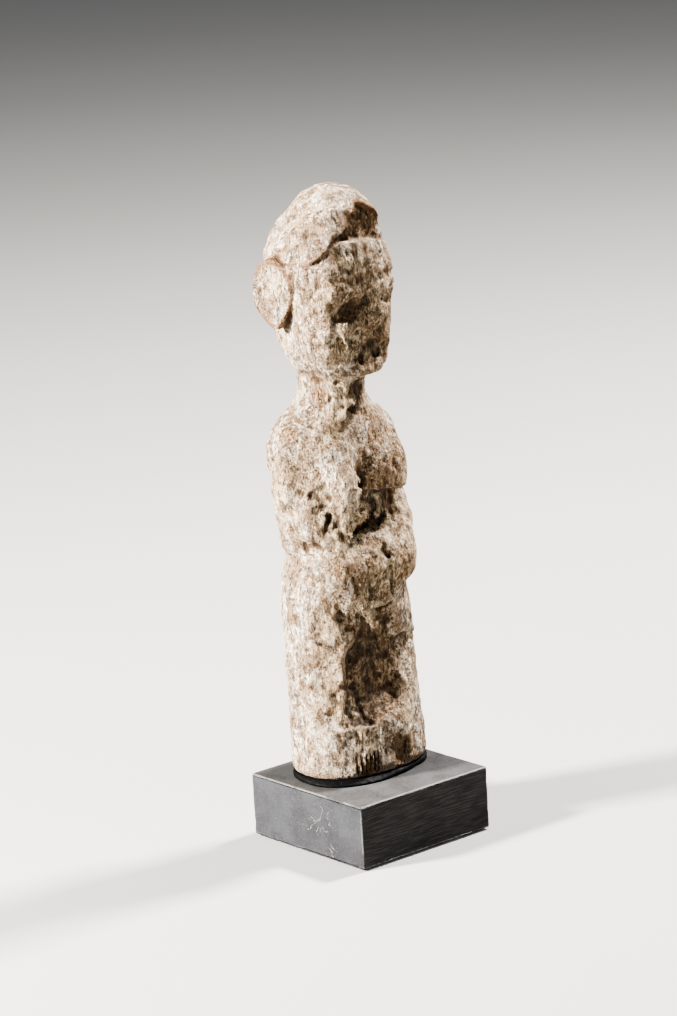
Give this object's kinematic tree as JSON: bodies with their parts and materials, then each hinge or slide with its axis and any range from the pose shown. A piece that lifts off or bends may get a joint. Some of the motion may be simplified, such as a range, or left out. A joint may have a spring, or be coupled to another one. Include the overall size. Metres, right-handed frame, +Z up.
{
  "type": "fertility doll",
  "caption": "Carved wooden standing female figure with hands on the belly, pinned and bedded on a square painted wooden display block with a felt base.",
  "frame": {"origin": "centre of the underside of the base felt, where the doll rests", "axes": "+Z up the figure, -Y the way the figure faces, -X towards the figure's own right side"},
  "size_m": [0.06, 0.06, 0.236],
  "materials": {
    "carved_wood": "dry, weathered, pale encrusted patina over brown wood",
    "mastic": "black setting compound, slightly glossy where squeezed out",
    "pin_steel": "plain round bar",
    "painted_wood": "satin black stain-paint, grain showing, dusty and lightly scuffed",
    "felt": "thin black self-adhesive felt"
  },
  "bodies": {
    "root": {"carved_figure": "carved_wood", "foot_bedding": "mastic", "mounting_pin": "pin_steel", "plinth": "painted_wood", "base_felt": "felt"}
  },
  "joints": []
}
